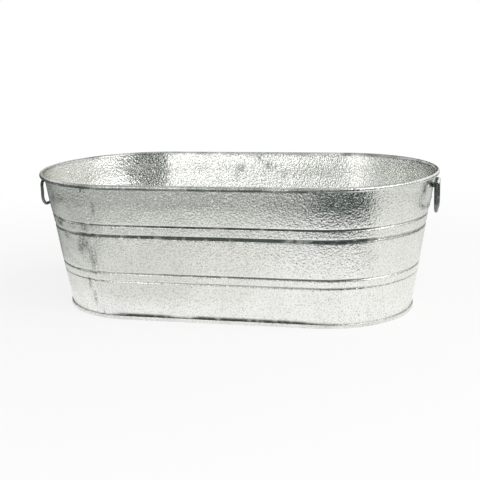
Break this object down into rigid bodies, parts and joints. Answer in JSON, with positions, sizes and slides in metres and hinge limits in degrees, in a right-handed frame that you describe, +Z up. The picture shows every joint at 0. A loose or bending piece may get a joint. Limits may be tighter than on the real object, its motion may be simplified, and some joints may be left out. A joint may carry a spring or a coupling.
{
  "type": "oval washing tub",
  "caption": "Oval washing tub of galvanised sheet steel: flared walls with pressed grooves, wired rim, folded foot seam, raised floor and a hinged wire drop handle at each end.",
  "frame": {"origin": "middle of the foot, on the surface that the tub stands on", "axes": "+X along the tub's length, +Y towards the back, +Z up"},
  "size_m": [0.6414, 0.344, 0.218],
  "materials": {
    "galvanised_sheet": "hot-dip zinc with fine spangle, satin to bright, dull in the grooves",
    "galvanised_floor": "hot-dip zinc, dull, with coarse spangle",
    "galvanised_ear": "hot-dip zinc over a stamped plate, satin",
    "zinc_rivet": "hot-dip zinc, satin",
    "galvanised_wire": "drawn wire with dull dark zinc"
  },
  "bodies": {
    "tub": {"front_sheet": "galvanised_sheet", "back_sheet": "galvanised_sheet", "bottom_pan": "galvanised_floor", "rim_wire": "galvanised_wire", "left_ear": "galvanised_ear", "right_ear": "galvanised_ear", "left_rivets": "zinc_rivet", "right_rivets": "zinc_rivet"},
    "left_drop_handle": {"left_handle": "galvanised_wire"},
    "right_drop_handle": {"right_handle": "galvanised_wire"}
  },
  "joints": [
    {"name": "left_handle_swing", "type": "hinge", "parent": "tub", "child": "left_drop_handle", "pos_m": [-0.31671, 0, 0.199], "axis": [0, 1, 0], "range_deg": [-12, 165]},
    {"name": "right_handle_swing", "type": "hinge", "parent": "tub", "child": "right_drop_handle", "pos_m": [0.31671, 0, 0.199], "axis": [0, -1, 0], "range_deg": [-12, 165]}
  ]
}
